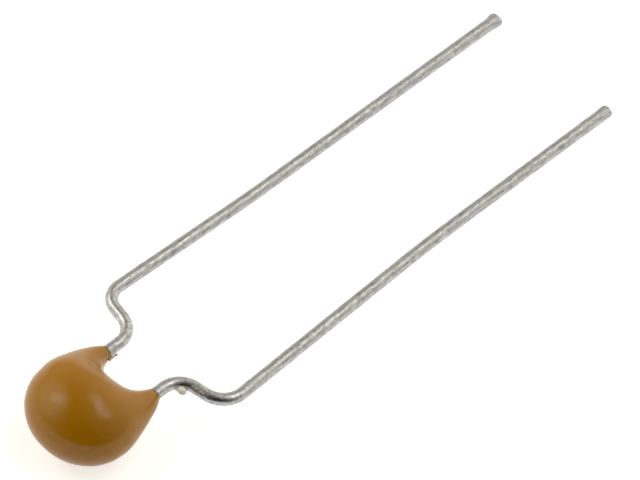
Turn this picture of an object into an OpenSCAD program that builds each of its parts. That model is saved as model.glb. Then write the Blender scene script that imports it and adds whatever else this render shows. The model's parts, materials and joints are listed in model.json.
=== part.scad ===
// Dipped multilayer ceramic capacitor with two kinked radial leads.
// It lies on its side, as it comes to rest on a bench: the bead's flank and both lead tips touch z = 0.
// Inside its own plane, X runs across the two leads, Y along them towards the tips, and Z through the
// bead's thickness. Every piece is drawn there, about the bead's centre, and then laid down as one.

/* [Coating] */
// Width of the bead, across the leads
bead_w = 3.92; // [3.6:0.02:4.4]
// Thickness of the bead
bead_t = 2.9; // [2.6:0.02:3.4]
// Bead's centre to its closed end, away from the leads
bead_tail = 1.67; // [1.5:0.01:2]
// Bead's centre to the bottom of the dip between the leads
bead_head = 1.52; // [1.4:0.01:1.7]
// Bead's centre to where the coating ends on the leads
coating_reach = 2.27; // [2.1:0.01:2.5]
// How fast the coating thickens below that end, as a slope
meniscus_slope = 0.68; // [0.5:0.01:0.75]
// Depth below that end at which it is thickest
meniscus_depth = 1.43; // [1.2:0.01:1.5]
// Size of the fillet that blends the coating on a lead into the bead
meniscus_blend = 0.43; // [0.2:0.01:0.5]

/* [Both leads] */
// Distance between the lead tips, centre to centre
lead_pitch = 5.08; // [4.9:0.01:5.3]
// Distance between the leads where they leave the coating
root_pitch = 2.18; // [2.1:0.01:2.3]
// Diameter of the tinned wire
wire_d = 0.42; // [0.36:0.01:0.46]
// Bead's centre to the lead tips
lead_reach = 21.8; // [19:0.1:26]
// Angle through which a lead turns outwards at its kink
kink_angle = 80; // [70:1:84]
// Radius of the inner bend of a kink
bend_in_r = 0.79; // [0.7:0.01:0.85]
// Angle by which a lead leans back inwards past its kink
toe_angle = 1.7; // [1.5:0.1:2.2]
// Radius of the slight bend that brings a lead parallel again
bow_r = 1; // [0.6:0.05:1.5]
// Length of the nipped end of a lead
tip_len = 0.45; // [0.3:0.05:0.6]
// Thickness of a nipped end, as a share of the wire's
tip_squeeze = 0.9; // [0.8:0.01:0.95]

/* [Left lead] */
// Bead's centre to the start of the kink
left_root_run = 2.81; // [2.6:0.01:3]
// Radius of the outer bend of the kink
left_bend_out_r = 0.69; // [0.6:0.01:0.75]
// How much further out the lead stands at its kink than at its tip
left_toe_in = 0.174; // [0.12:0.002:0.3]
// Widening of the nipped end, as a share of the wire's diameter
left_tip_flare = 1.28; // [1.1:0.01:1.4]

/* [Right lead] */
// Bead's centre to the start of the kink
right_root_run = 2.65; // [2.5:0.01:3]
// Radius of the outer bend of the kink
right_bend_out_r = 0.89; // [0.7:0.01:0.92]
// How much further out the lead stands at its kink than at its tip
right_toe_in = 0.316; // [0.2:0.002:0.4]
// Widening of the nipped end, as a share of the wire's diameter
right_tip_flare = 1.1; // [1.05:0.01:1.4]

/* [Ceramic block] */
// Height of the ceramic block, along the leads
block_h = 1.25; // [1:0.01:1.4]
// Thickness of the ceramic block, through its stack of layers
block_t = 0.9; // [0.7:0.01:1]
// How far the block's middle lies below the bead's centre
block_drop = 0.15; // [0:0.01:0.25]
// Number of electrode layers
layer_count = 16; // [8:2:20]
// Thickness of an electrode
electrode_t = 0.012; // [0.008:0.001:0.016]
// Plain ceramic above and below the stack
cover_t = 0.1; // [0.06:0.01:0.14]
// Plain ceramic beside each electrode
side_margin = 0.15; // [0.1:0.01:0.25]
// Plain ceramic between an electrode and the end cap of the other side
end_margin = 0.2; // [0.12:0.01:0.3]

/* [End caps and solder] */
// Thickness of the silver on the block's ends
cap_t = 0.03; // [0.02:0.005:0.05]
// Length that an end cap wraps along the block
cap_band = 0.3; // [0.2:0.01:0.4]
// Thinnest solder, between a lead and its end cap and on their faces
solder_film = 0.03; // [0.02:0.005:0.04]
// How far the solder stops short of the block's edges
solder_inset = 0.1; // [0.05:0.01:0.2]

/* [Hidden] */
// Gap left round a lead in the solder and the coating, so that no two pieces share space
bond_gap = 0.01;
$fn = 48;

wire_r = wire_d / 2;
root_x = root_pitch / 2;
root_end_y = -block_drop - block_h / 2;
bead_r_x = bead_w / 2;
bead_r_z = bead_t / 2;

// Outer face of an end cap, and the ceramic's own end inside it
cap_x = root_x - wire_r - solder_film;
block_x = cap_x - cap_t;
// The fillet of solder sweeps from the top of the wire to the face of the end cap
solder_r = root_x - cap_x - solder_film;
solder_r_z = wire_r + solder_film + solder_r;
solder_half_z = min(solder_r_z, block_t / 2 + cap_t);
electrode_pitch = (block_t - 2 * cover_t - electrode_t) / (layer_count - 1);

// Skin of the coating: slices along X, each an outline of points found on rays from a rising centre
ray_count = 44;
ray_crowding = 12;
ray_lift = 0.75;
search_reach = 4;
search_steps = 16;
horn_zone = 0.45;
horn_slices = 9;
middle_slices = 7;
flank_slices = 9;

// ---- How the part lies -------------------------------------------------------------------------

// Depth of the bead's flank and of the lead tips below the bead's centre, when the leads slope down
function flank_depth(slope) = norm([bead_head * sin(slope), bead_r_z * cos(slope)]);
function tip_depth(slope) = max(
    lead_reach * sin(slope) + tip_squeeze * wire_r * cos(slope),
    (lead_reach - tip_len) * sin(slope) + wire_r * cos(slope));
// Slope at which both touch the bench, closed in on from a first guess
function lying_slope(slope = 0, steps = 6) = steps == 0 ? slope
    : lying_slope(slope + asin((flank_depth(slope) - tip_depth(slope)) / lead_reach), steps - 1);

slope = lying_slope();
back_y = -norm([bead_tail * cos(slope), bead_r_z * sin(slope)]);
front_y = lead_reach * cos(slope) + tip_squeeze * wire_r * sin(slope);

module laid_down() {
    translate([0, -(back_y + front_y) / 2, flank_depth(slope)]) rotate([-slope, 0, 0]) children();
}

// ---- Leads -------------------------------------------------------------------------------------

// Each of these draws one stretch of wire along +Y and puts its children at the stretch's far end.
module straight(length) {
    rotate([-90, 0, 0]) cylinder(h = length, r = wire_r);
    translate([0, length, 0]) children();
}

module turn_out(angle, r) {
    translate([r, 0, 0]) rotate([0, 0, 180 - angle]) rotate_extrude(angle = angle)
        translate([r, 0]) circle(r = wire_r);
    translate([r, 0, 0]) rotate([0, 0, -angle]) translate([-r, 0, 0]) children();
}

module turn_in(angle, r) {
    translate([-r, 0, 0]) rotate_extrude(angle = angle) translate([r, 0]) circle(r = wire_r);
    translate([-r, 0, 0]) rotate([0, 0, angle]) translate([r, 0, 0]) children();
}

// The end that the cutters left: wider than the wire one way, and thinner the other
module nipped_tip(flare) {
    intersection() {
        rotate([-90, 0, 0]) cylinder(h = tip_len, r1 = wire_r, r2 = wire_r * flare);
        translate([-wire_d, 0, -wire_r * tip_squeeze]) cube([2 * wire_d, tip_len, wire_d * tip_squeeze]);
    }
}

// A lead on the +X side. The slanted run of the kink is as long as it takes to stand toe_in outside the
// tip, the lean as long as it takes to use that up, and the last run as long as it takes to reach the tip.
module lead(root_run, bend_out_r, toe_in, tip_flare) {
    kink_x = lead_pitch / 2 + toe_in - root_x;
    kink_run = (kink_x - bend_in_r * (1 - cos(kink_angle))
        - bend_out_r * (cos(toe_angle) - cos(kink_angle))) / sin(kink_angle);
    toe_run = (toe_in - bow_r * (1 - cos(toe_angle))) / sin(toe_angle);
    bow_end_y = root_run + bend_in_r * sin(kink_angle) + kink_run * cos(kink_angle)
        + bend_out_r * (sin(kink_angle) + sin(toe_angle)) + toe_run * cos(toe_angle)
        + bow_r * sin(toe_angle);
    translate([root_x, root_end_y, 0])
        straight(root_run - root_end_y) turn_out(kink_angle, bend_in_r)
            straight(kink_run) turn_in(kink_angle + toe_angle, bend_out_r)
                straight(toe_run) turn_out(toe_angle, bow_r)
                    straight(lead_reach - tip_len - bow_end_y) nipped_tip(tip_flare);
}

module lead_left() {
    color("#a9abac") laid_down() mirror([1, 0, 0])
        lead(left_root_run, left_bend_out_r, left_toe_in, left_tip_flare);
}

module lead_right() {
    color("#a9abac") laid_down() lead(right_root_run, right_bend_out_r, right_toe_in, right_tip_flare);
}

// ---- Ceramic block with its electrodes, end caps and solder --------------------------------------

// A box about the block's middle, from its size
module about_block(size) {
    translate([0, -block_drop, 0]) cube(size, center = true);
}

// Electrodes leave the block at its right end and its left end in turn
module electrode_sheet(i) {
    side = i % 2 == 0 ? -1 : 1;
    length = 2 * block_x - end_margin;
    z = (i - (layer_count + 1) / 2) * electrode_pitch;
    translate([side * end_margin / 2, 0, z]) about_block([length, block_h - 2 * side_margin, electrode_t]);
}

module electrode(i) {
    color("#c9a227") laid_down() electrode_sheet(i);
}

module ceramic_block() {
    color("#e6dcc3") laid_down() difference() {
        about_block([2 * block_x, block_h, block_t]);
        for (i = [1:layer_count]) electrode_sheet(i);
    }
}

// Solid outline of the silver at the +X end, over the block
module cap_outline() {
    translate([cap_x - cap_band / 2, 0, 0])
        about_block([cap_band, block_h + 2 * cap_t, block_t + 2 * cap_t]);
}

module end_cap() {
    difference() {
        cap_outline();
        about_block([2 * block_x, block_h, block_t]);
    }
}

module end_cap_left() {
    color("#d8d8d2") laid_down() mirror([1, 0, 0]) end_cap();
}

module end_cap_right() {
    color("#d8d8d2") laid_down() end_cap();
}

// Solder at the +X end: a bed between the wire and the end cap, hollowed to a fillet above and below
module solder_outline(extra = 0) {
    translate([0, -block_drop, 0]) rotate([90, 0, 0])
        linear_extrude(block_h - 2 * solder_inset, center = true) difference() {
            translate([cap_x, -solder_half_z]) square([root_x - cap_x, 2 * solder_half_z]);
            for (side = [-1, 1])
                translate([root_x, side * solder_r_z]) circle(r = solder_r - extra);
        }
}

module wire_bore(start_y, end_y) {
    translate([root_x, start_y, 0]) rotate([-90, 0, 0]) cylinder(h = end_y - start_y, r = wire_r + bond_gap);
}

module solder() {
    difference() {
        solder_outline();
        wire_bore(root_end_y - block_h, coating_reach);
    }
}

module solder_left() {
    color("#b9bbbd") laid_down() mirror([1, 0, 0]) solder();
}

module solder_right() {
    color("#b9bbbd") laid_down() solder();
}

// ---- Epoxy coating -------------------------------------------------------------------------------

// Signed distance to the bead, an ellipsoid that is blunter towards the leads
function bead_distance(p) =
    let (r = [bead_r_x, p[1] > 0 ? bead_head : bead_tail, bead_r_z])
    let (near = norm([p[0] / r[0], p[1] / r[1], p[2] / r[2]]))
    let (steep = norm([p[0] / r[0] ^ 2, p[1] / r[1] ^ 2, p[2] / r[2] ^ 2]))
    near * (near - 1) / max(steep, 0.001);

// Signed distance to the coating that the leads draw up: round each wire it swells with depth as far as
// meniscus_depth, and then narrows again inside the bead
function horn_distance(p) =
    let (depth = coating_reach - p[1], below = max(depth, 0))
    let (r = wire_r + bond_gap + meniscus_slope * (depth - below ^ 2 / (2 * meniscus_depth)))
    let (lean = meniscus_slope * (1 - below / meniscus_depth))
    (norm([abs(p[0]) - root_x, p[2]]) - r) / sqrt(1 + lean ^ 2);

// Both together, blended by a round fillet where they meet
function skin_distance(p) =
    let (bead = bead_distance(p), horn = horn_distance(p))
    let (overlap = max(meniscus_blend - abs(bead - horn), 0) / meniscus_blend)
    min(bead, horn) - overlap ^ 2 * meniscus_blend / 4;

// Distance along a ray to the skin, by halving the interval that holds it
function reach(from, along, low = 0, high = search_reach, steps = search_steps) =
    steps == 0 ? (low + high) / 2
    : skin_distance(from + along * (low + high) / 2) < 0
        ? reach(from, along, (low + high) / 2, high, steps - 1)
        : reach(from, along, low, (low + high) / 2, steps - 1);

// Where the slices stand on the +X side: even at the middle, close round the lead, and crowded towards
// the flank, where the bead closes
horn_low = root_x - horn_zone;
horn_high = root_x + horn_zone;
flank_angle = asin(horn_high / bead_r_x);
half_slices = concat(
    [for (i = [1:middle_slices - 1]) horn_low * i / middle_slices],
    [for (i = [-horn_slices:horn_slices]) root_x + horn_zone * i / horn_slices],
    [for (i = [1:flank_slices - 1]) bead_r_x * sin(flank_angle + (90 - flank_angle) * i / flank_slices)]);
last = len(half_slices) - 1;
slices = concat([for (i = [0:last]) -half_slices[last - i]], [0], half_slices);

function ray_angle(j) = 360 * j / ray_count - ray_crowding * sin(360 * j / ray_count);
function outline(x) =
    let (centre = [x, ray_lift * sqrt(1 - (x / bead_r_x) ^ 2), 0])
    [for (j = [0:ray_count - 1])
        let (along = [0, cos(ray_angle(j)), sin(ray_angle(j))])
        centre + along * reach(centre, along)];

module coating_skin() {
    slice_count = len(slices);
    left_pole = slice_count * ray_count;
    points = concat([for (x = slices) each outline(x)], [[-bead_r_x, 0, 0], [bead_r_x, 0, 0]]);
    walls = [for (i = [0:slice_count - 2], j = [0:ray_count - 1])
        let (k = (j + 1) % ray_count, a = i * ray_count, b = a + ray_count)
        each [[a + j, b + j, b + k], [a + j, b + k, a + k]]];
    ends = [for (j = [0:ray_count - 1])
        let (k = (j + 1) % ray_count, b = (slice_count - 1) * ray_count)
        each [[left_pole, j, k], [left_pole + 1, b + k, b + j]]];
    polyhedron(points, concat(walls, ends));
}

// The coating is the skin less all that it was dipped over
module epoxy_coating() {
    color("#96601c") laid_down() difference() {
        coating_skin();
        about_block([2 * block_x, block_h, block_t]);
        for (side = [0, 1]) mirror([side, 0, 0]) {
            cap_outline();
            solder_outline(bond_gap);
            wire_bore(root_end_y - bond_gap, coating_reach + 1);
        }
    }
}

epoxy_coating();
lead_left();
lead_right();
ceramic_block();
end_cap_left();
end_cap_right();
solder_left();
solder_right();
for (i = [1:layer_count]) electrode(i);
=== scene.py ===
"""Looks of a dipped multilayer ceramic capacitor that lies on its side on a white bench.

The bead of epoxy is a copy of the solid's skin, moved to the less even form that dipping gives it and shaded
smooth. The two tinned leads are drawn again as round wire, ring by ring, along their bends. A few specks of
resin sit on the wires. Everything inside the bead keeps its solid and gets its own finish. Lengths are in
millimetres until MM turns them into metres.
"""

import json
import math
from collections import namedtuple

import bpy
from mathutils import Matrix, Vector

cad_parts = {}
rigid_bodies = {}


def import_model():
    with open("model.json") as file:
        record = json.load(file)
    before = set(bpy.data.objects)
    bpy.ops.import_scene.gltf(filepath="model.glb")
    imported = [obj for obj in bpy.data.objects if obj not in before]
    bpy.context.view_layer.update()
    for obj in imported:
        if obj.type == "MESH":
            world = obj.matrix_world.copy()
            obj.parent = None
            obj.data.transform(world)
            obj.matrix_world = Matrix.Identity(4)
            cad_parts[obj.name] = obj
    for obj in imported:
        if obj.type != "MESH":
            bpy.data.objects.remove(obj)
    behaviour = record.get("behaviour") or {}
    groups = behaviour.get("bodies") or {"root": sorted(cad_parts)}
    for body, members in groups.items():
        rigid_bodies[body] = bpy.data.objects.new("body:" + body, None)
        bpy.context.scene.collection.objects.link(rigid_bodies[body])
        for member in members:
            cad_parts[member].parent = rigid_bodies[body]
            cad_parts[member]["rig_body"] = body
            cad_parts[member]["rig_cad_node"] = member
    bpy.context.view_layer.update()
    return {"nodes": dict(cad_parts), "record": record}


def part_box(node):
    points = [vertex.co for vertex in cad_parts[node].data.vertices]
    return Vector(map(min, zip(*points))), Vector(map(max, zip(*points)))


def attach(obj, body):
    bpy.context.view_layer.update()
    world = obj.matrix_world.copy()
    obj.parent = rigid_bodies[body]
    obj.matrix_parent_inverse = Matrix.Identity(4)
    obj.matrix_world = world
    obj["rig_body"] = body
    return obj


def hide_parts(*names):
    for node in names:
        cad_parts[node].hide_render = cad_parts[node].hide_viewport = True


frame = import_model()
bpy.ops.object.select_all(action="DESELECT")

MM = 0.001
NODES = frame["nodes"]
PINS = {mount["name"]: mount for mount in frame["record"]["mounts"]}

# ---- Sizes, in millimetres ---------------------------------------------------------------------------

WIRE_R = PINS["lead_pin_left"]["dims"]["r_mm"]
# Between the wires where they leave the coating, and between their tips
ROOT_PITCH = 2.18
LEAD_PITCH = 5.08
# Along the leads from the bead's centre: to the tips, the wires' inner ends, and where the coating ends
LEAD_REACH = 21.8
ROOT_START = -0.775
COATING_REACH = 2.27
# The kink's turn outwards and its radius, and the radius of the faint bow that ends the lean past it
KINK_ANGLE = math.radians(80)
BEND_IN_R = 0.79
BOW_R = 58.0
# A nipped end: its length, and its thickness as a share of the wire's
TIP_LEN = 0.45
TIP_SQUEEZE = 0.9
# Its worn edge: how far on each ring lies, and how much narrower it is
TIP_ROUNDING = ((0.04, 0.96), (0.035, 0.9), (0.02, 0.8))
# Rings of points along a wire's two bends, its bow and its nipped end
BEND_IN_RINGS, BEND_OUT_RINGS, BOW_RINGS, TIP_RINGS = 20, 22, 8, 5

# How far the leads slope down from the bead to their tips
SLOPE = math.asin(-PINS["lead_pin_left"]["axis"][2])
# The bead's centre, about which the leads are drawn before they are laid down
BEAD_LOW, BEAD_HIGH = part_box("epoxy_coating")
TIP_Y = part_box("lead_left")[1].y / MM
CENTRE = Vector((
    0,
    TIP_Y - LEAD_REACH * math.cos(SLOPE) - TIP_SQUEEZE * WIRE_R * math.sin(SLOPE),
    (BEAD_LOW.z + BEAD_HIGH.z) / 2 / MM,
))
# Where the coating ends on the wires, once it is laid down
MOUTH_Y = CENTRE.y + COATING_REACH * math.cos(SLOPE)


# ---- Nodes and colours -------------------------------------------------------------------------------

def colour(hex_code):
    """An sRGB hex code as linear red, green, blue and alpha."""
    parts = [int(hex_code[i:i + 2], 16) / 255 for i in (1, 3, 5)]
    return [c / 12.92 if c <= 0.04045 else ((c + 0.055) / 1.055) ** 2.4 for c in parts] + [1]


def add(tree, kind, inputs=None, **settings):
    """A new node. An input is given a value, or the output socket that feeds it."""
    made = tree.nodes.new("ShaderNode" + kind)
    for name, value in settings.items():
        setattr(made, name, value)
    for name, value in (inputs or {}).items():
        if isinstance(value, bpy.types.NodeSocket):
            tree.links.new(value, made.inputs[name])
        else:
            made.inputs[name].default_value = value
    return made


def new_material(name):
    """An empty material, its node tree, and object coordinates turned to millimetres."""
    material = bpy.data.materials.new(name)
    material.use_nodes = True
    tree = material.node_tree
    tree.nodes.clear()
    place = add(tree, "TexCoord")
    in_mm = add(tree, "VectorMath", {0: place.outputs["Object"], 1: (1 / MM,) * 3}, operation="MULTIPLY")
    return material, tree, in_mm.outputs["Vector"]


def finish_material(tree, shader):
    add(tree, "OutputMaterial", {"Surface": shader.outputs[0]})


# ---- Materials ---------------------------------------------------------------------------------------

def dipped_epoxy():
    """Pigmented epoxy, dipped and cured: an ochre body under a smooth gloss, with a few pinholes."""
    material, tree, mm = new_material("dipped_ochre_epoxy")
    cloud = add(tree, "TexNoise", {"Vector": mm, "Scale": 0.9, "Detail": 3.0, "Roughness": 0.55})
    tint = add(tree, "Mix", {0: cloud.outputs["Fac"], 6: colour("#A36B03"), 7: colour("#AF7506")},
               data_type="RGBA")
    # Pinholes about 0.04 mm across and 0.3 mm apart
    dots = add(tree, "TexVoronoi", {"Vector": mm, "Scale": 3.2, "Randomness": 1.0})
    pinhole = add(tree, "MapRange", {"Value": dots.outputs["Distance"], "From Min": 0.03, "From Max": 0.08,
                                     "To Min": 1.0, "To Max": 0.0})
    speckled = add(tree, "Mix", {0: pinhole.outputs["Result"], 6: tint.outputs[2], 7: colour("#8A5A10")},
                   data_type="RGBA")
    # The film thins over about 0.1 mm to a ragged, dark greenish edge where it ends on the wires
    axes = add(tree, "SeparateXYZ", {0: mm})
    ragged = add(tree, "TexNoise", {"Vector": mm, "Scale": 6.0, "Detail": 2.0})
    reach = add(tree, "Math", {0: ragged.outputs["Fac"], 1: 0.12, 2: axes.outputs["Y"]},
                operation="MULTIPLY_ADD")
    thin = add(tree, "MapRange", {"Value": reach.outputs[0], "From Min": MOUTH_Y - 0.07,
                                  "From Max": MOUTH_Y + 0.05, "To Max": 0.75})
    skin = add(tree, "Mix", {0: thin.outputs["Result"], 6: speckled.outputs[2], 7: colour("#5C5526")},
               data_type="RGBA")
    ripple = add(tree, "TexNoise", {"Vector": mm, "Scale": 2.2, "Detail": 2.0})
    wave = add(tree, "Bump", {"Height": ripple.outputs["Fac"], "Strength": 0.25, "Distance": 0.02 * MM})
    pits = add(tree, "Bump", {"Height": pinhole.outputs["Result"], "Strength": 0.5, "Distance": 0.01 * MM,
                              "Normal": wave.outputs["Normal"]}, invert=True)
    shader = add(tree, "BsdfPrincipled", {"Base Color": skin.outputs[2], "Roughness": 0.2, "IOR": 1.4,
                                          "Normal": pits.outputs["Normal"]})
    finish_material(tree, shader)
    return material


def tinned_copper():
    """Hot-tinned copper wire: a bright metal, dulled by grains of tin 0.1 mm wide and by drawn streaks."""
    material, tree, mm = new_material("tinned_copper_wire")
    grain = add(tree, "TexNoise", {"Vector": mm, "Scale": 9.0, "Detail": 4.0, "Roughness": 0.65})
    drawn = add(tree, "Mapping", {"Vector": mm, "Scale": (1.0, 0.22, 1.0)})
    streak = add(tree, "TexNoise", {"Vector": drawn.outputs["Vector"], "Scale": 14.0, "Detail": 3.0})
    both = add(tree, "Math", {0: grain.outputs["Fac"], 1: streak.outputs["Fac"]})
    dull, bright = 0.72, 1.28
    shade = add(tree, "MapRange", {"Value": both.outputs[0], "From Min": dull, "From Max": bright})
    tint = add(tree, "Mix", {0: shade.outputs["Result"], 6: colour("#97969C"), 7: colour("#D3D2D8")},
               data_type="RGBA")
    # Nicks and dirt from the forming jaws, about 0.2 mm apart round the wire and 0.9 mm along it
    nick = add(tree, "TexVoronoi", {"Vector": drawn.outputs["Vector"], "Scale": 5.0, "Randomness": 1.0})
    mark = add(tree, "MapRange", {"Value": nick.outputs["Distance"], "From Min": 0.08, "From Max": 0.16,
                                  "To Min": 0.7, "To Max": 0.0})
    dulled = add(tree, "Mix", {0: mark.outputs["Result"], 6: tint.outputs[2], 7: colour("#6F6B62")},
                 data_type="RGBA")
    rough = add(tree, "MapRange", {"Value": both.outputs[0], "From Min": dull, "From Max": bright,
                                   "To Min": 0.4, "To Max": 0.24})
    bumps = add(tree, "Bump", {"Height": both.outputs[0], "Strength": 0.6, "Distance": 0.012 * MM})
    shader = add(tree, "BsdfPrincipled", {"Base Color": dulled.outputs[2], "Metallic": 1.0,
                                          "Roughness": rough.outputs["Result"],
                                          "Normal": bumps.outputs["Normal"]})
    finish_material(tree, shader)
    return material


def loose_resin(name, dark, light, roughness):
    """A speck of resin that set on the wire: uneven in shade, and duller than the coating."""
    material, tree, mm = new_material(name)
    cloud = add(tree, "TexNoise", {"Vector": mm, "Scale": 14.0, "Detail": 3.0})
    shade = add(tree, "MapRange", {"Value": cloud.outputs["Fac"], "From Min": 0.4, "From Max": 0.6})
    tint = add(tree, "Mix", {0: shade.outputs["Result"], 6: colour(dark), 7: colour(light)},
               data_type="RGBA")
    relief = add(tree, "Bump", {"Height": cloud.outputs["Fac"], "Strength": 0.6, "Distance": 0.01 * MM})
    shader = add(tree, "BsdfPrincipled", {"Base Color": tint.outputs[2], "Roughness": roughness,
                                          "IOR": 1.5, "Normal": relief.outputs["Normal"]})
    finish_material(tree, shader)
    return material


def grained_material(name, dark, light, grain_mm, roughness, metallic=0.0, bump_mm=0.004):
    """A sintered or cast surface: two shades mixed by a grain of the given size, with a low relief."""
    material, tree, mm = new_material(name)
    grain = add(tree, "TexNoise", {"Vector": mm, "Scale": 1 / grain_mm, "Detail": 4.0})
    shade = add(tree, "MapRange", {"Value": grain.outputs["Fac"], "From Min": 0.3, "From Max": 0.7})
    tint = add(tree, "Mix", {0: shade.outputs["Result"], 6: colour(dark), 7: colour(light)},
               data_type="RGBA")
    relief = add(tree, "Bump", {"Height": grain.outputs["Fac"], "Strength": 0.7, "Distance": bump_mm * MM})
    shader = add(tree, "BsdfPrincipled", {"Base Color": tint.outputs[2], "Metallic": metallic,
                                          "Roughness": roughness, "Normal": relief.outputs["Normal"]})
    finish_material(tree, shader)
    return material


# ---- Tools for modelling -----------------------------------------------------------------------------

# Faces that meet at a sharper turn than this keep their edge
SHARP_ANGLE = math.radians(40)


def only(piece):
    """Selects one object and makes it active."""
    bpy.ops.object.select_all(action="DESELECT")
    piece.select_set(True)
    bpy.context.view_layer.objects.active = piece


class Wire:
    """A round wire, drawn ring by ring from where it starts. Heading 0 runs along +Y, and a turn is
    positive towards +X."""

    SIDES = 32

    def __init__(self, name, start):
        bpy.ops.mesh.primitive_circle_add(vertices=self.SIDES, radius=WIRE_R * MM, fill_type="NGON",
                                          location=start * MM, rotation=(math.pi / 2, 0, 0))
        self.piece = bpy.context.active_object
        self.piece.name = name
        self.piece.data.name = name
        bpy.ops.object.transform_apply(location=True, rotation=True, scale=True)
        self.at = start.copy()
        self.heading = 0.0
        bpy.ops.object.mode_set(mode="EDIT")
        bpy.ops.mesh.select_all(action="SELECT")

    def forward(self):
        return Vector((math.sin(self.heading), math.cos(self.heading), 0))

    def straight(self, length, ring_every=0.25):
        rings = max(1, round(length / ring_every))
        step = self.forward() * length / rings
        for _ in range(rings):
            bpy.ops.mesh.extrude_region_move(TRANSFORM_OT_translate={"value": step * MM})
        self.at += step * rings

    def turn(self, angle, r, rings):
        side = Vector((math.cos(self.heading), -math.sin(self.heading), 0)) * math.copysign(r, angle)
        centre = self.at + side
        bpy.ops.mesh.spin(steps=rings, angle=angle, center=centre * MM, axis=(0, 0, 1))
        self.heading += angle
        new_side = Vector((math.cos(self.heading), -math.sin(self.heading), 0)) * math.copysign(r, angle)
        self.at = centre - new_side

    def resize(self, across, thick):
        bpy.ops.transform.resize(value=(across, 1, thick), center_override=self.at * MM)

    def done(self):
        bpy.ops.mesh.select_all(action="SELECT")
        bpy.ops.mesh.normals_make_consistent(inside=False)
        bpy.ops.object.mode_set(mode="OBJECT")
        return self.piece


def lay_down(piece):
    """Turns a piece that was drawn about the bead's centre as the part lies, and keeps it in its mesh."""
    only(piece)
    piece.matrix_world = Matrix.Translation(CENTRE * MM) @ Matrix.Rotation(-SLOPE, 4, "X")
    bpy.ops.object.transform_apply(location=True, rotation=True, scale=True)


# ---- The drop's skin ---------------------------------------------------------------------------------

# An oval drop and two horns of epoxy that climb the wires. The drop's middle lies off the leads' middle by
# off_x and off_y, and head and tail are its reach from there towards the leads and away from them. A horn
# widens outwards, inwards and in height at its own rate down to its own depth, and flows into the drop over
# the blend.
Skin = namedtuple("Skin", "off_x off_y half_w head tail outward inward upward outer_depth inner_depth "
                          "upper_depth blend")
# The skin as the solid has it, even on both sides, and as dipping leaves it
CAST_SKIN = Skin(
    off_x=0, off_y=0, half_w=1.96, head=1.52, tail=1.67, outward=0.68, inward=0.68, upward=0.68,
    outer_depth=1.43, inner_depth=1.43, upper_depth=1.43, blend=0.43)
DIPPED_SKIN = Skin(
    off_x=0.081, off_y=0.05, half_w=1.936, head=1.375, tail=1.724, outward=0.718, inward=0.213, upward=0.601,
    outer_depth=1.068, inner_depth=1.821, upper_depth=1.335, blend=0.853)
HALF_THICK = 1.45
# A horn's radius where it ends on the wire, the least one that its oval section is worked out from, and the
# depth past which it fades out inside the drop
HORN_MOUTH_R = WIRE_R + 0.01
LEAST_HORN_R = 0.1
HORN_FADE = 1.9
# What counts as a point of the outer skin: this near the cast one, and this far short of where it ends
ON_SKIN = 0.02
RIM = 0.01
# How a point finds the dipped skin: its steps, how far it probes for the slope, and the least slope it trusts
SETTLING_STEPS = 12
PROBES = Vector((0.002, 0, 0)), Vector((0, 0.002, 0)), Vector((0, 0, 0.002))
LEAST_SLOPE_SQUARED = 0.1
# The stretch along the leads where the horns leave the drop
EASED_FROM, EASED_TO = 0.75, 1.8


def skin_distance(x, y, z, skin):
    """About how far a point stands off the skin, below zero inside it."""
    bx, by = x - skin.off_x, y - skin.off_y
    across, along, thick = skin.half_w, (skin.head if by > 0 else skin.tail), HALF_THICK
    near = math.sqrt((bx / across) ** 2 + (by / along) ** 2 + (z / thick) ** 2)
    steep = math.sqrt((bx / across ** 2) ** 2 + (by / along ** 2) ** 2 + (z / thick ** 2) ** 2)
    bead = near * (near - 1) / max(steep, 1e-9)

    down = COATING_REACH - y
    below = max(down, 0)
    from_wire = abs(x) - ROOT_PITCH / 2
    rate, depth = (skin.outward, skin.outer_depth) if from_wire > 0 else (skin.inward, skin.inner_depth)
    side_r = HORN_MOUTH_R + rate * (down - below ** 2 / (2 * depth))
    top_r = HORN_MOUTH_R + skin.upward * (down - below ** 2 / (2 * skin.upper_depth))
    oval = max(top_r, LEAST_HORN_R) / max(side_r, LEAST_HORN_R)
    reach = math.hypot(from_wire * oval, z) + 1e-9
    stretch = math.hypot(from_wire * oval ** 2, z) / reach + 1e-3
    lean = skin.upward * (1 - below / skin.upper_depth)
    horn = (reach - top_r) / stretch / math.sqrt(1 + lean ** 2) + max(down - HORN_FADE, 0) ** 2

    overlap = max(skin.blend - abs(bead - horn), 0) / skin.blend
    return min(bead, horn) - overlap ** 2 * skin.blend / 4


def settle_skin(piece):
    """Moves the copy's outer points from the skin as cast to the skin as dipped, and eases them where the
    horns leave the drop. The pocket inside and the rims round the wires stay."""
    bpy.ops.mesh.select_all(action="DESELECT")
    bpy.ops.object.mode_set(mode="OBJECT")
    to_part = Matrix.Translation(CENTRE) @ Matrix.Rotation(-SLOPE, 4, "X")
    to_lead = to_part.inverted()
    for vertex in piece.data.vertices:
        p = to_lead @ (vertex.co / MM)
        if abs(skin_distance(*p, CAST_SKIN)) > ON_SKIN or p.y > COATING_REACH - RIM:
            continue
        for _ in range(SETTLING_STEPS):
            off = skin_distance(*p, DIPPED_SKIN)
            slope = Vector([
                (skin_distance(*(p + probe), DIPPED_SKIN) - skin_distance(*(p - probe), DIPPED_SKIN))
                / (2 * probe.length) for probe in PROBES])
            p -= slope * off / max(slope.length_squared, LEAST_SLOPE_SQUARED)
        vertex.co = (to_part @ p) * MM
        vertex.select = EASED_FROM < p.y < EASED_TO
    bpy.ops.object.mode_set(mode="EDIT")
    bpy.ops.mesh.vertices_smooth(factor=0.5, repeat=3)


# ---- The pieces --------------------------------------------------------------------------------------

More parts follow.
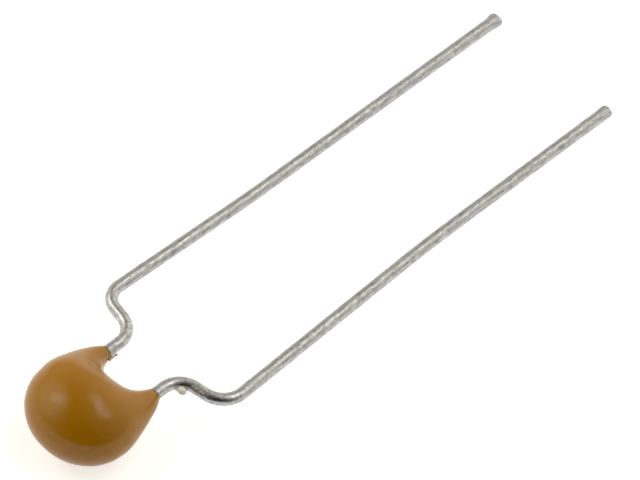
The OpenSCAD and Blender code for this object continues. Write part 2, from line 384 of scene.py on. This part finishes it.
def coating_piece(material):
    """The bead: a copy of the solid, merged, settled into the form of a dipped drop and shaded smooth."""
    piece = NODES["epoxy_coating"].copy()
    piece.data = NODES["epoxy_coating"].data.copy()
    piece.name = "dipped_coating"
    piece.data.name = "dipped_coating"
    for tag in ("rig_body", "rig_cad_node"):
        del piece[tag]
    piece.parent = None
    bpy.context.scene.collection.objects.link(piece)
    only(piece)
    bpy.ops.mesh.customdata_custom_splitnormals_clear()
    bpy.ops.object.mode_set(mode="EDIT")
    bpy.ops.mesh.select_all(action="SELECT")
    bpy.ops.mesh.remove_doubles(threshold=0.0005 * MM)
    bpy.ops.mesh.select_mode(type="VERT")
    settle_skin(piece)
    bpy.ops.object.mode_set(mode="OBJECT")
    bpy.ops.object.shade_smooth_by_angle(angle=SHARP_ANGLE)
    piece.data.materials.clear()
    piece.data.materials.append(material)
    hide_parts("epoxy_coating")
    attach(piece, "root")


def lead_piece(name, node, side, root_run, bend_out_r, toe_angle, toe_run, tip_flare, material):
    """One lead: out of the bead, outwards and back along the kink, a slight lean in, a long faint bow,
    and the nipped end."""
    wire = Wire(name, Vector((side * ROOT_PITCH / 2, ROOT_START, 0)))
    lean = toe_angle * side
    kink = KINK_ANGLE * side
    wire.straight(root_run - ROOT_START, ring_every=0.5)
    wire.turn(kink, BEND_IN_R, BEND_IN_RINGS)
    toe_in = toe_run * math.sin(toe_angle) + BOW_R * (1 - math.cos(toe_angle))
    kink_x = LEAD_PITCH / 2 + toe_in - ROOT_PITCH / 2
    run = (kink_x - BEND_IN_R * (1 - math.cos(KINK_ANGLE))
           - bend_out_r * (math.cos(toe_angle) - math.cos(KINK_ANGLE))) / math.sin(KINK_ANGLE)
    wire.straight(run, ring_every=0.1)
    wire.turn(-kink - lean, bend_out_r, BEND_OUT_RINGS)
    wire.straight(toe_run)
    wire.turn(lean, BOW_R, BOW_RINGS)
    wire.straight(LEAD_REACH - TIP_LEN - wire.at.y)
    last_across, last_thick = 1.0, 1.0
    nip_len = TIP_LEN - sum(length for length, _ in TIP_ROUNDING)
    for i in range(1, TIP_RINGS + 1):
        wire.straight(nip_len / TIP_RINGS, ring_every=TIP_LEN)
        t = i / TIP_RINGS
        smooth = t * t * (3 - 2 * t)
        across = 1 + (tip_flare - 1) * smooth
        thick = 1 + (TIP_SQUEEZE - 1) * smooth
        wire.resize(across / last_across, thick / last_thick)
        last_across, last_thick = across, thick
    for length, narrower in TIP_ROUNDING:
        wire.straight(length, ring_every=TIP_LEN)
        wire.resize(narrower, narrower)
    piece = wire.done()
    bpy.ops.object.shade_smooth_by_angle(angle=SHARP_ANGLE)
    lay_down(piece)
    piece.data.materials.append(material)
    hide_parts(node)
    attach(piece, "root")


def resin_specks(name, specks, material):
    """Specks of resin on a wire, each a ball pulled out of round: its place, its half sizes and a seed."""
    bpy.ops.object.select_all(action="DESELECT")
    made = []
    for place, half_sizes, seed in specks:
        bpy.ops.mesh.primitive_ico_sphere_add(subdivisions=3, radius=MM, location=(0, 0, 0))
        ball = bpy.context.active_object
        bpy.ops.object.mode_set(mode="EDIT")
        bpy.ops.mesh.select_all(action="SELECT")
        bpy.ops.transform.vertex_random(offset=0.12 * MM, uniform=0.4, normal=0.4, seed=seed)
        bpy.ops.mesh.vertices_smooth(factor=0.5, repeat=2)
        bpy.ops.transform.resize(value=half_sizes, center_override=(0, 0, 0))
        bpy.ops.transform.translate(value=Vector(place) * MM)
        bpy.ops.object.mode_set(mode="OBJECT")
        bpy.ops.object.shade_smooth()
        made.append(ball)
    for ball in made:
        ball.select_set(True)
    bpy.ops.object.join()
    piece = bpy.context.active_object
    piece.name = name
    piece.data.name = name
    lay_down(piece)
    piece.data.materials.clear()
    piece.data.materials.append(material)
    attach(piece, "root")


def dress_inner_nodes():
    """The block and what is fired and soldered on it keep their solids."""
    finishes = {
        # Barium titanate, sintered: a matt cream with a fine grain
        "ceramic": grained_material("sintered_titanate", "#D8CDB2", "#EADFC6", grain_mm=0.03, roughness=0.75),
        # Silver paste, fired: a pale metal with a matt, slightly porous face
        "silver": grained_material("fired_silver", "#BDBDB6", "#DADAD4", grain_mm=0.02, roughness=0.55,
                                   metallic=1.0),
        # Nickel film, sintered between the layers: a duller, darker metal with hardly any relief
        "nickel": grained_material("sintered_nickel", "#8F8778", "#A79F8F", grain_mm=0.01, roughness=0.5,
                                   metallic=1.0, bump_mm=0.001),
        # Tin solder, set as it flowed: a bright metal with broad soft shades
        "solder": grained_material("tin_solder", "#A9ABAD", "#C6C8CA", grain_mm=0.08, roughness=0.3,
                                   metallic=1.0),
    }
    for name, piece in NODES.items():
        kind = next((finish for word, finish in (("ceramic", "ceramic"), ("end_cap", "silver"),
                                                 ("electrode", "nickel"), ("solder", "solder"))
                     if word in name), None)
        if kind:
            piece.data.materials.clear()
            piece.data.materials.append(finishes[kind])


# ---- Bench, light and camera -------------------------------------------------------------------------

AIM = Vector((0.149, 0.584, 0.8)) * MM
CAMERA_AZIMUTH = math.radians(38.975)
CAMERA_ELEVATION = math.radians(54.56)
CAMERA_ROLL = math.radians(7.37)
CAMERA_DISTANCE = 205.75 * MM
CAMERA_LENS = 359.33

# Light from the room's walls: its slightly warm white, and a broad glow round each direction, as azimuth,
# elevation and half width in degrees and its strength
ROOM_WHITE = (1, 0.98, 0.8, 1)
ROOM_GLOWS = [
    (300, 35, 40, 1.14),
    (300, 5, 75, 0.67),
    (210, 5, 75, 0.54),
    (150, 5, 75, 0.27),
    (150, 35, 75, 0.59),
]
# Soft boxes: where each stands, how far off, its width, length and brightness, and which way its length runs
TOP_ALONG = Vector((0.8, -0.3, -0.1))
SOFTBOXES = {
    "left_softbox": (Vector((-0.6, -0.35, 0.72)), 400, 110, 160, 2.0, Vector((0, 0, 1))),
    "top_softbox": (Vector((0.24, 0.34, 0.91)), 400, 150, 300, 1.3, TOP_ALONG),
    "top_softbox_core": (Vector((0.22, 0.30, 0.91)), 390, 60, 150, 1.6, TOP_ALONG),
}
# The bench's own glow, and how much more of it the camera and the reflections see
BOARD_GLOW = 0.18
BOARD_LIFT = 0.45
MIRRORED_LIFT = 0.3


def direction(azimuth, elevation):
    """Unit vector from the object: azimuth 0 is towards -Y, where a camera would look along +Y."""
    return Vector((math.sin(azimuth) * math.cos(elevation), -math.cos(azimuth) * math.cos(elevation),
                   math.sin(elevation)))


def make_camera():
    back = direction(CAMERA_AZIMUTH, CAMERA_ELEVATION)
    camera = bpy.data.objects.new("camera", bpy.data.cameras.new("camera"))
    bpy.context.scene.collection.objects.link(camera)
    camera.data.lens = CAMERA_LENS
    camera.data.clip_start = 0.01
    camera.location = AIM + back * CAMERA_DISTANCE
    turned = (-back).to_track_quat("-Z", "Y") @ Matrix.Rotation(CAMERA_ROLL, 4, "Z").to_quaternion()
    camera.rotation_euler = turned.to_euler()
    bpy.context.scene.camera = camera


def make_lamp(name, towards, distance, width, length, radiance, along):
    """A soft box of even brightness, facing the part."""
    lamp = bpy.data.lights.new(name, "AREA")
    lamp.shape = "RECTANGLE"
    lamp.size = width * MM
    lamp.size_y = length * MM
    lamp.energy = radiance * math.pi * width * length * MM * MM
    piece = bpy.data.objects.new(name, lamp)
    bpy.context.scene.collection.objects.link(piece)
    back = towards.normalized()
    up = (along - back * along.dot(back)).normalized()
    right = up.cross(back)
    turn = Matrix((right, up, back)).transposed()
    piece.matrix_world = Matrix.Translation(AIM + back * distance * MM) @ turn.to_4x4()


def make_world():
    """The room's glows, for the light on the part. The camera sees plain white past the bench."""
    world = bpy.data.worlds.new("studio")
    world.use_nodes = True
    tree = world.node_tree
    tree.nodes.clear()
    place = add(tree, "TexCoord")
    total = None
    for azimuth, elevation, half_width, strength in ROOM_GLOWS:
        towards = direction(math.radians(azimuth), math.radians(elevation))
        facing = add(tree, "VectorMath", {0: place.outputs["Generated"], 1: towards}, operation="DOT_PRODUCT")
        lobe = add(tree, "MapRange", {"Value": facing.outputs["Value"],
                                      "From Min": math.cos(math.radians(half_width)), "From Max": 1.0,
                                      "To Min": 0.0, "To Max": strength}, interpolation_type="SMOOTHSTEP")
        glow = lobe.outputs["Result"]
        total = add(tree, "Math", {0: total, 1: glow}).outputs[0] if total else glow
    room = add(tree, "Background", {"Color": ROOM_WHITE, "Strength": total})
    white = add(tree, "Background", {"Color": (1, 1, 1, 1), "Strength": 1.0})
    rays = add(tree, "LightPath")
    seen = add(tree, "MixShader", {0: rays.outputs["Is Camera Ray"], 1: room.outputs[0],
                                   2: white.outputs[0]})
    add(tree, "OutputWorld", {"Surface": seen.outputs[0]})
    bpy.context.scene.world = world


def make_bench():
    """A wide matt white board under the part, with a glow of its own that leaves the shadow faint."""
    bpy.ops.mesh.primitive_plane_add(size=2.0, location=(0, 0, 0))
    bench = bpy.context.active_object
    bench.name = "bench"
    material = bpy.data.materials.new("white_board")
    material.use_nodes = True
    tree = material.node_tree
    tree.nodes.clear()
    rays = add(tree, "LightPath")
    board = add(tree, "BsdfDiffuse", {"Color": colour("#EDEDED")})
    seen = add(tree, "Math", {0: rays.outputs["Is Camera Ray"], 1: BOARD_LIFT, 2: BOARD_GLOW},
               operation="MULTIPLY_ADD")
    lift = add(tree, "Math", {0: rays.outputs["Is Glossy Ray"], 1: MIRRORED_LIFT, 2: seen.outputs[0]},
               operation="MULTIPLY_ADD")
    glow = add(tree, "Emission", {"Color": (1, 1, 1, 1), "Strength": lift.outputs[0]})
    both = add(tree, "AddShader", {0: board.outputs[0], 1: glow.outputs[0]})
    finish_material(tree, both)
    bench.data.materials.append(material)


# ---- The scene ---------------------------------------------------------------------------------------

bpy.context.scene.view_settings.view_transform = "Standard"
make_camera()
make_world()
for name, softbox in SOFTBOXES.items():
    make_lamp(name, *softbox)
make_bench()

coating_piece(dipped_epoxy())
tin = tinned_copper()
lead_piece("left_lead", "lead_left", side=-1, root_run=2.81, bend_out_r=0.69,
           toe_angle=math.radians(1.66), toe_run=5.0, tip_flare=1.28, material=tin)
lead_piece("right_lead", "lead_right", side=1, root_run=2.65, bend_out_r=0.89,
           toe_angle=math.radians(2.1), toe_run=7.66, tip_flare=1.1, material=tin)
resin_specks("coating_crumbs", [
    ((-0.825, 2.15, -0.03), (0.05, 0.07, 0.05), 3),
    ((-0.845, 2.25, -0.07), (0.04, 0.06, 0.05), 5),
    ((-0.855, 2.36, -0.09), (0.035, 0.07, 0.03), 8),
    ((-0.845, 2.46, -0.09), (0.045, 0.06, 0.04), 13),
], loose_resin("set_epoxy_crumbs", "#8F7040", "#E0D2B0", 0.5))
resin_specks("clear_resin_bead", [
    ((1.53, 3.03, -0.02), (0.18, 0.14, 0.13), 21),
    ((1.39, 2.97, -0.03), (0.08, 0.07, 0.06), 34),
], loose_resin("pale_set_resin", "#F1EEE2", "#FFFDF6", 0.3))
dress_inner_nodes()
